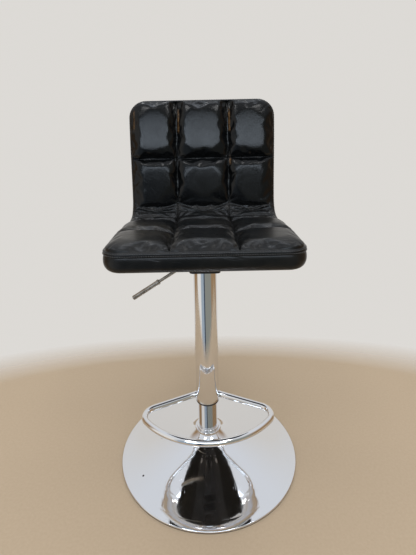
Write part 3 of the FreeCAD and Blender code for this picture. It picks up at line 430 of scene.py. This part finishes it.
class Panel:
    """The quilted panel as a grid of cells: three columns and five rows of squares."""

    def __init__(self):
        self.rows = self.lines(seam_spans([PANEL_INSET, *ROW_SEAMS, WHOLE - PANEL_INSET]))
        edge = HALF_WIDTH - PANEL_INSET
        self.columns = self.lines(seam_spans([-edge, -COLUMN_SEAM, COLUMN_SEAM, edge]))

    @staticmethod
    def lines(spans):
        """Each grid line as (span number, share of the span, from, to)."""
        found = []
        for number, (low, high, shares) in enumerate(spans):
            last = number == len(spans) - 1
            for share in shares if last else shares[:-1]:
                found.append((number, share, low, high))
        return found

    def square(self, row, column):
        """The quilted square under a grid point, and where the point is in it, -1 to 1."""
        row_number, up, _, _ = self.rows[row]
        column_number, across, _, _ = self.columns[column]
        return row_number, column_number, 2 * up - 1, 2 * across - 1

    def site(self, row, column):
        """Along, across and the outward direction at a grid point, on the panel's outline."""
        _, share, low, high = self.rows[row]
        along = mix(low, high, share)
        number, share, _, _ = self.columns[column]
        edge = half_width(along) - PANEL_INSET
        low, high = ((-edge, -COLUMN_SEAM), (-COLUMN_SEAM, COLUMN_SEAM), (COLUMN_SEAM, edge))[number]
        across = mix(low, high, share)
        side = 1 if across > 0 else -1
        for centre, radius, way in (
            (FRONT_CORNER, FRONT_CORNER - PANEL_INSET, -1),
            (WHOLE - TOP_CORNER, TOP_CORNER - PANEL_INSET, 1),
        ):
            past = (along - centre) * way / radius
            out = (abs(across) - (edge - radius)) / radius
            if past > 0 and out > 0:
                squared = max(past, out) / math.hypot(past, out)
                turned_along = centre + way * past * squared * radius
                turned_across = side * (edge - radius + out * squared * radius)
                length = math.hypot(past, out)
                return turned_along, turned_across, Vector((way * past / length, side * out / length))
        from_end = min(along - PANEL_INSET, WHOLE - PANEL_INSET - along)
        if from_end < edge - abs(across):
            outward = Vector((-1 if along < WHOLE / 2 else 1, 0))
        else:
            outward = Vector((0, side))
        return along, across, outward


# Each row's height at its lower and upper end, front row first: the back's squares lean apart
CROWNS = [(11.0, 11.0), (9.5, 9.5), (9.0, 9.0), (5.5, 13.0), (13.5, 10.5)]
# How sharply each row's squares roll down at their row seams, and every square at its column seams
ROLLS = [5, 5, 5, 8, 6]
ACROSS_ROLL = 5
# The front row's middle square stands higher than the others by FULL_MIDDLE
FULLEST_SQUARE = (0, 1)
FULL_MIDDLE = 3 * MM
LOW_FOLD = 2.5 * MM
NEARLY = 1e-6


def pillow(share, power):
    """A filled square's profile: flat in the middle and rolled down at both seams."""
    return math.sqrt(max(1 - abs(share) ** power, 0))


def quilt_height(panel, row, column):
    """How far the sewn panel stands above its seams, before it is filled."""
    row_number, column_number, up, across = panel.square(row, column)
    along = panel.site(row, column)[0]
    low, high = CROWNS[row_number]
    crown = mix(low, high, (up + 1) / 2) * MM
    if (row_number, column_number) == FULLEST_SQUARE:
        crown += FULL_MIDDLE
    height = min(crown, straight_height(along, crown))
    return height * pillow(up, ROLLS[row_number]) * pillow(across, ACROSS_ROLL)


def straight_height(along, crown):
    """Height that keeps a square's face straight where the board bends, down to a low fold."""
    into_bend = heading(along) if along < CREASE else BACK_TURN - heading(along)
    inner = BEND_RADIUS - BOARD_TOP - mix(FOAM_BEND, FOAM_BACK, 0.5)
    return max(inner - (inner - crown) / math.cos(into_bend), LOW_FOLD)


def sewn(panel, row, column):
    """True on the panel's edge and on its seams."""
    _, _, up, across = panel.square(row, column)
    return abs(abs(up) - 1) < NEARLY or abs(abs(across) - 1) < NEARLY


def pinch(along, across):
    """How far the top edge is drawn in where a column seam runs over it."""
    from_top = (WHOLE - along - PINCH_START) / PINCH_REACH
    from_seam = (abs(across) - COLUMN_SEAM) / PINCH_WIDTH
    return PINCH * max(1 - math.hypot(from_top, from_seam), 0)


def on_edge(panel, row, column):
    return row in (0, len(panel.rows) - 1) or column in (0, len(panel.columns) - 1)


def grid_index(panel, vert):
    """Row and column of a vertex of the flat two-by-two grid that the panel starts as."""
    column = round((vert.co.x + 1) / 2 * (len(panel.columns) - 1))
    row = round((vert.co.y + 1) / 2 * (len(panel.rows) - 1))
    return row, column


def panel_mesh(panel):
    """The panel sewn but not yet filled, and each vertex's row and column."""
    bm = bmesh.new()
    bmesh.ops.create_grid(bm, x_segments=len(panel.columns) - 1, y_segments=len(panel.rows) - 1, size=1)
    bm.verts.ensure_lookup_table()
    places = {vert.index: grid_index(panel, vert) for vert in bm.verts}
    for vert in bm.verts:
        row, column = places[vert.index]
        along, across, _ = panel.site(row, column)
        depth = seam_depth(along) + quilt_height(panel, row, column)
        if sewn(panel, row, column) and not on_edge(panel, row, column):
            depth -= GROOVE
        depth -= pinch(along, across)
        vert.co = on_seat(along, across, depth)
    return bm, places


# How the cover's cloth gives as it is filled, for how many frames, and how far at most
CLOTH = {
    "quality": 6,
    "mass": 0.25,
    "tension_stiffness": 25,
    "compression_stiffness": 18,
    "shear_stiffness": 8,
    "bending_stiffness": 1.2,
    "vertex_group_mass": "sewn",
    "pin_stiffness": 1.0,
    "use_pressure": True,
    "uniform_pressure_force": 5.0,
    "shrink_min": -0.035,
}
FILL_FRAMES = 20
MOST_FILLED = 7 * MM


def filled(panel, bm, places):
    """Fill the squares: the cloth is held at its seams and pressed outwards from inside."""
    piece = new_piece("panel_being_filled", bm)
    group = piece.vertex_groups.new(name="sewn")
    held = [index for index, place in places.items() if sewn(panel, *place)]
    group.add(held, 1.0, "REPLACE")
    cloth = piece.modifiers.new("fill", "CLOTH")
    for setting, value in CLOTH.items():
        setattr(cloth.settings, setting, value)
    cloth.settings.effector_weights.gravity = 0
    cloth.collision_settings.use_collision = False
    scene = bpy.context.scene
    for number in range(1, FILL_FRAMES + 1):
        scene.frame_set(number)
    shaped = piece.evaluated_get(bpy.context.evaluated_depsgraph_get())
    moved = []
    for before, after in zip(piece.data.vertices, shaped.data.vertices):
        step = after.co - before.co
        if step.length > MOST_FILLED:
            step *= MOST_FILLED / step.length
        moved.append(before.co + step)
    scene.frame_set(1)
    bpy.data.objects.remove(piece)
    return moved


# The felled seam, in millimetres outward and down from the panel's edge: it stands proud between
# a valley under the panel and a step above the band.
FELL = [
    (0.1, 0.9),
    (1.3, 1.5),
    (2.9, 2.3),
    (4.0, 4.4),
    (4.5, 7.4),
    (4.5, 9.8),
    (3.9, 10.9),
    (2.8, 11.3),
    (2.7, 12.2),
]
# The band below it, in millimetres outward and in shares of the depth that is left
BOXING_SHARES = [
    (4.2, 0.07),
    (5.1, 0.28),
    (4.8, 0.48),
    (3.0, 0.66),
    (-0.6, 0.82),
    (-6.0, 0.94),
    (-13.0, 1.0),
    (-18.0, 1.0),
]
UNDER_GAP = 1 * MM
STITCH_ROWS = [(3.75, 3.7), (4.7, 8.8)]
STITCH_LENGTH = 3.4 * MM
STITCH_RADIUS = 0.85 * MM
STITCH_PITCH = 5.0 * MM


def boxing_place(site, outward, drop):
    along, across, way = site
    depth = seam_depth(along) - drop
    return on_seat(along + way.x * outward, across + way.y * outward, depth)


def boxing_rings(site):
    """The places of one vertex of the edge as it goes down the boxing."""
    along = site[0]
    fell_end = FELL[-1][1] * MM
    rest = seam_depth(along) - fell_end - UNDER_GAP
    rings = [(outward * MM, drop * MM) for outward, drop in FELL]
    rings += [(outward * MM, fell_end + rest * share) for outward, share in BOXING_SHARES]
    return [boxing_place(site, outward, drop) for outward, drop in rings]


def add_boxing(panel, bm, places):
    """Extrude the panel's edge down its boxing and close it underneath."""
    bm.verts.ensure_lookup_table()
    edge_sites = {}
    for index, place in places.items():
        if on_edge(panel, *place):
            edge_sites[bm.verts[index]] = (place, boxing_rings(panel.site(*place)))
    loop = [edge for edge in bm.edges if edge.is_boundary]
    current = edge_sites
    for number in range(len(FELL) + len(BOXING_SHARES)):
        made = bmesh.ops.extrude_edge_only(bm, edges=loop)["geom"]
        fresh = [item for item in made if isinstance(item, bmesh.types.BMVert)]
        loop = [item for item in made if isinstance(item, bmesh.types.BMEdge) and item.is_boundary]
        following = {}
        for vert in fresh:
            for linked in vert.link_edges:
                other = linked.other_vert(vert)
                if other in current:
                    following[vert] = current[other]
                    vert.co = current[other][1][number]
        current = following
    close_underneath(panel, bm, {place: vert for vert, (place, _) in current.items()})


def close_underneath(panel, bm, found):
    """Join the two sides of the last ring across the pad, row by row."""
    last_row, last_column = len(panel.rows) - 1, len(panel.columns) - 1
    for row in range(1, last_row - 1):
        corners = [(row, 0), (row + 1, 0), (row + 1, last_column), (row, last_column)]
        bm.faces.new([found[corner] for corner in corners])
    front = [(0, column) for column in range(last_column + 1)]
    top = [(last_row, column) for column in range(last_column + 1)]
    bm.faces.new([found[place] for place in [(1, 0), (1, last_column), *reversed(front)]])
    bm.faces.new([found[place] for place in [*top, (last_row - 1, last_column), (last_row - 1, 0)]])


def quilted_pad():
    """The whole upholstered pad: quilted panel, felled seam and boxing, closed underneath."""
    panel = Panel()
    bm, places = panel_mesh(panel)
    moved = filled(panel, bm, places)
    bm, places = panel_mesh(panel)
    bm.verts.ensure_lookup_table()
    for index, place in enumerate(moved):
        bm.verts[index].co = place
    add_boxing(panel, bm, places)
    bmesh.ops.recalc_face_normals(bm, faces=bm.faces)
    piece = new_piece("quilted_seat_and_back", bm)
    rounder = piece.modifiers.new("rounder", "SUBSURF")
    rounder.levels = 1
    rounder.render_levels = 1
    finish_piece(piece, "seat", FINISHES["black_leatherette"])
    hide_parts("quilted_cover", "seat_foam")
    return panel


def stitch_rows(panel):
    """Two rows of topstitching round the boxing, one each side of the felled seam."""
    last_row, last_column = len(panel.rows) - 1, len(panel.columns) - 1
    loop = [(0, column) for column in range(last_column)]
    loop += [(row, last_column) for row in range(last_row)]
    loop += [(last_row, column) for column in range(last_column, 0, -1)]
    loop += [(row, 0) for row in range(last_row, 0, -1)]
    bm = bmesh.new()
    stitch = one_stitch()
    for outward, drop in STITCH_ROWS:
        line = [boxing_place(panel.site(*place), outward * MM, drop * MM) for place in loop]
        add_stitches(bm, line + line[:1], stitch)
    piece = new_piece("topstitching", bm)
    finish_piece(piece, "seat", thread())


def one_stitch():
    """A short round stitch along Z, as a small mesh to copy."""
    bm = bmesh.new()
    shape = Matrix.Diagonal((STITCH_RADIUS, STITCH_RADIUS, STITCH_LENGTH / 2, 1))
    bmesh.ops.create_uvsphere(bm, u_segments=6, v_segments=4, radius=1, matrix=shape)
    mesh = bpy.data.meshes.new("one_stitch")
    bm.to_mesh(mesh)
    bm.free()
    return mesh


def add_stitches(bm, line, stitch):
    """Stitches laid at an even pitch along a closed line."""
    travelled, due = 0.0, 0.0
    for start, end in zip(line, line[1:]):
        run = end - start
        while run.length > 0 and due <= travelled + run.length:
            middle = start + run * ((due - travelled) / run.length)
            turn = run.to_track_quat("Z", "Y").to_matrix().to_4x4()
            stitch.transform(Matrix.Translation(middle) @ turn)
            bm.from_mesh(stitch)
            stitch.transform((Matrix.Translation(middle) @ turn).inverted())
            due += STITCH_PITCH
        travelled += run.length


# Stage
LIT_PLACE = (0, 0, 0.6)
WHITE = (1, 1, 1)
DAYLIGHT = (0.76, 0.87, 1.0)
COOL_WHITE = (0.80, 0.88, 1.0)
# Lamps that polished pieces mirror: name, place, width, height, watts and colour
LAMPS = [
    ("window", (-0.2, -3.2, 1.93), 3.2, 0.62, 44, DAYLIGHT),
    ("overhead", (0, 0.35, 2.4), 1.6, 0.4, 6, COOL_WHITE),
    ("ceiling_left", (-0.75, -1.1, 2.5), 0.4, 0.4, 5, WHITE),
    ("ceiling_right", (0.75, -1.1, 2.5), 0.4, 0.4, 5, WHITE),
    ("rear_left", (-0.608, 0.742, 2.5), 0.25, 0.08, 2, WHITE),
    ("rear_right", (0.625, 0.757, 2.5), 0.25, 0.08, 2, WHITE),
]
# Lamps that no piece mirrors
FILLS = [
    ("fill_above", (0, -0.6, 3.0), 2.4, 2.4, 30, WHITE),
    ("fill_front", (0, -3.0, 1.4), 2.4, 1.6, 12, WHITE),
    ("fill_left", (-2.8, 0.2, 1.5), 1.6, 2.2, 18, WHITE),
    ("fill_right", (2.8, 0.2, 1.5), 1.6, 2.2, 18, WHITE),
    ("fill_back", (0, 3.0, 1.8), 2.6, 1.4, 22, WHITE),
]


def set_camera():
    lens = bpy.data.cameras.new("camera")
    lens.sensor_width = 36
    lens.lens = LENS
    lens.shift_x = SHIFT_ACROSS
    lens.shift_y = SHIFT_UP
    lens.clip_start = 0.01
    camera = bpy.data.objects.new("camera", lens)
    bpy.context.scene.collection.objects.link(camera)
    turn = Matrix.Rotation(math.radians(CAMERA_YAW), 4, "Z")
    turn @= Matrix.Rotation(math.radians(90 - CAMERA_TILT), 4, "X")
    turn @= Matrix.Rotation(math.radians(-CAMERA_ROLL), 4, "Z")
    camera.matrix_world = Matrix.Translation(CAMERA_PLACE) @ turn
    bpy.context.scene.camera = camera


def add_lamp(name, place, width, height, watts, colour):
    """A lamp turned towards the stool, out of the camera's sight."""
    light = bpy.data.lights.new(name, "AREA")
    light.shape = "RECTANGLE"
    light.size = width
    light.size_y = height
    light.energy = watts
    light.color = colour
    lamp = bpy.data.objects.new(name, light)
    bpy.context.scene.collection.objects.link(lamp)
    lamp.location = place
    lamp.rotation_euler = (Vector(LIT_PLACE) - Vector(place)).to_track_quat("-Z", "Y").to_euler()
    lamp.visible_camera = False
    return lamp


def set_lights():
    """A long window behind the camera, ceiling lamps, and fills that no surface mirrors."""
    for lamp in LAMPS:
        add_lamp(*lamp)
    for lamp in FILLS:
        add_lamp(*lamp).visible_glossy = False


BACKGROUND = (0.72, 0.70, 0.67)
CEILING = (0.74, 0.77, 0.82)
ROOM = (0.42, 0.41, 0.40)
NIGHT_BLUE = (0.012, 0.03, 0.07)
WARM_SIDE = (0.34, 0.22, 0.12)
PALE_BLUE = (0.36, 0.43, 0.50)
WHITE_WALL = (0.86, 0.84, 0.80)
GREY_GREEN = (0.27, 0.28, 0.25)
# Degrees round from straight ahead of the sitter, towards +X, and what polished metal mirrors there
ROOM_ROUND = [
    (-180, BACKGROUND),
    (-132, BACKGROUND),
    (-120, WARM_SIDE),
    (-84, WARM_SIDE),
    (-76, WHITE_WALL),
    (-46, WHITE_WALL),
    (-38, PALE_BLUE),
    (-16, PALE_BLUE),
    (-13, NIGHT_BLUE),
    (-8, NIGHT_BLUE),
    (-3, GREY_GREEN),
    (52, GREY_GREEN),
    (64, WARM_SIDE),
    (118, WARM_SIDE),
    (132, BACKGROUND),
    (180, BACKGROUND),
]
# The walls fade into the ceiling between these heights of a mirrored ray, from 0 level to 1 upright
WALLS_BELOW = 0.45
CEILING_ABOVE = 0.8


def add_room_shade(tree):
    """What polished metal mirrors: a pale wall behind the stool, a varied room and a cool ceiling."""
    place = tree.nodes.new("ShaderNodeTexCoord").outputs["Generated"]
    split = tree.nodes.new("ShaderNodeSeparateXYZ")
    tree.links.new(place, split.inputs["Vector"])
    front = tree.nodes.new("ShaderNodeMath")
    front.operation = "MULTIPLY"
    front.inputs[1].default_value = -1
    tree.links.new(split.outputs["Y"], front.inputs[0])
    turn = tree.nodes.new("ShaderNodeMath")
    turn.operation = "ARCTAN2"
    tree.links.new(split.outputs["X"], turn.inputs[0])
    tree.links.new(front.outputs["Value"], turn.inputs[1])
    share = tree.nodes.new("ShaderNodeMapRange")
    share.inputs["From Min"].default_value = -math.pi
    share.inputs["From Max"].default_value = math.pi
    tree.links.new(turn.outputs["Value"], share.inputs["Value"])
    ramp = tree.nodes.new("ShaderNodeValToRGB")
    steps = ramp.color_ramp.elements
    while len(steps) < len(ROOM_ROUND):
        steps.new(0.5)
    for step, (degrees, colour) in zip(steps, ROOM_ROUND):
        step.position = (degrees + 180) / 360
        step.color = (*colour, 1)
    tree.links.new(share.outputs["Result"], ramp.inputs["Fac"])
    above = tree.nodes.new("ShaderNodeMapRange")
    above.inputs["From Min"].default_value = WALLS_BELOW
    above.inputs["From Max"].default_value = CEILING_ABOVE
    tree.links.new(split.outputs["Z"], above.inputs["Value"])
    ceiling = tree.nodes.new("ShaderNodeMix")
    ceiling.data_type = "RGBA"
    ceiling.inputs["B"].default_value = (*CEILING, 1)
    tree.links.new(above.outputs["Result"], ceiling.inputs["Factor"])
    tree.links.new(ramp.outputs["Color"], ceiling.inputs["A"])
    mirrored = tree.nodes.new("ShaderNodeBackground")
    tree.links.new(ceiling.outputs["Result"], mirrored.inputs["Color"])
    return mirrored.outputs["Background"]


def set_world():
    """The room as the stool sees it, and a pale backdrop as the camera sees it."""
    world = bpy.data.worlds.new("room")
    bpy.context.scene.world = world
    world.use_nodes = True
    tree = world.node_tree
    shade = tree.nodes["Background"]
    shade.inputs["Color"].default_value = (*ROOM, 1)
    backdrop = tree.nodes.new("ShaderNodeBackground")
    backdrop.inputs["Color"].default_value = (*BACKGROUND, 1)
    path = tree.nodes.new("ShaderNodeLightPath")
    current = shade.outputs["Background"]
    for kind, seen in (
        ("Is Glossy Ray", add_room_shade(tree)),
        ("Is Transmission Ray", backdrop.outputs["Background"]),
        ("Is Camera Ray", backdrop.outputs["Background"]),
    ):
        choose = tree.nodes.new("ShaderNodeMixShader")
        tree.links.new(path.outputs[kind], choose.inputs["Fac"])
        tree.links.new(current, choose.inputs[1])
        tree.links.new(seen, choose.inputs[2])
        current = choose.outputs["Shader"]
    tree.links.new(current, tree.nodes["World Output"].inputs["Surface"])


FLOOR_RADIUS = 6
FLOOR_TONE = (0.41, 0.32, 0.225)
FLOOR_DARKER = (0.375, 0.29, 0.2)
FLOOR_PALER = (0.445, 0.35, 0.25)
# The floor fades in an oval, from and to these distances along Y, and further along X
FLOOR_OVAL = (0.45, 1, 1)
FLOOR_FADES_FROM = 0.44
FLOOR_FADES_TO = 0.6


def add_floor():
    """A pale floor that fades into the backdrop all round."""
    bm = bmesh.new()
    bmesh.ops.create_circle(bm, cap_ends=True, segments=96, radius=FLOOR_RADIUS)
    floor = new_piece("floor", bm)
    finish = Finish("pale_floor", FLOOR_TONE, 0.8, specular=0.1)
    grain = finish.noise(160, 4, 0.6)
    finish.feed("Base Color", finish.colours(grain, FLOOR_DARKER, FLOOR_PALER))
    length = finish.node("ShaderNodeVectorMath", operation="LENGTH")
    finish.link(finish.stretched(FLOOR_OVAL), length.inputs[0])
    far = finish.spread(length.outputs["Value"], FLOOR_FADES_FROM, FLOOR_FADES_TO, 0, 1)
    clear = finish.node("ShaderNodeBsdfTransparent")
    choose = finish.node("ShaderNodeMixShader")
    finish.link(far, choose.inputs["Fac"])
    finish.link(finish.shader.outputs["BSDF"], choose.inputs[1])
    finish.link(clear.outputs["BSDF"], choose.inputs[2])
    finish.link(choose.outputs["Shader"], finish.tree.nodes["Material Output"].inputs["Surface"])
    floor.data.materials.append(finish.material)


dress_frame()
stitch_rows(quilted_pad())
set_camera()
set_lights()
set_world()
add_floor()
bpy.context.scene.view_settings.view_transform = "Standard"
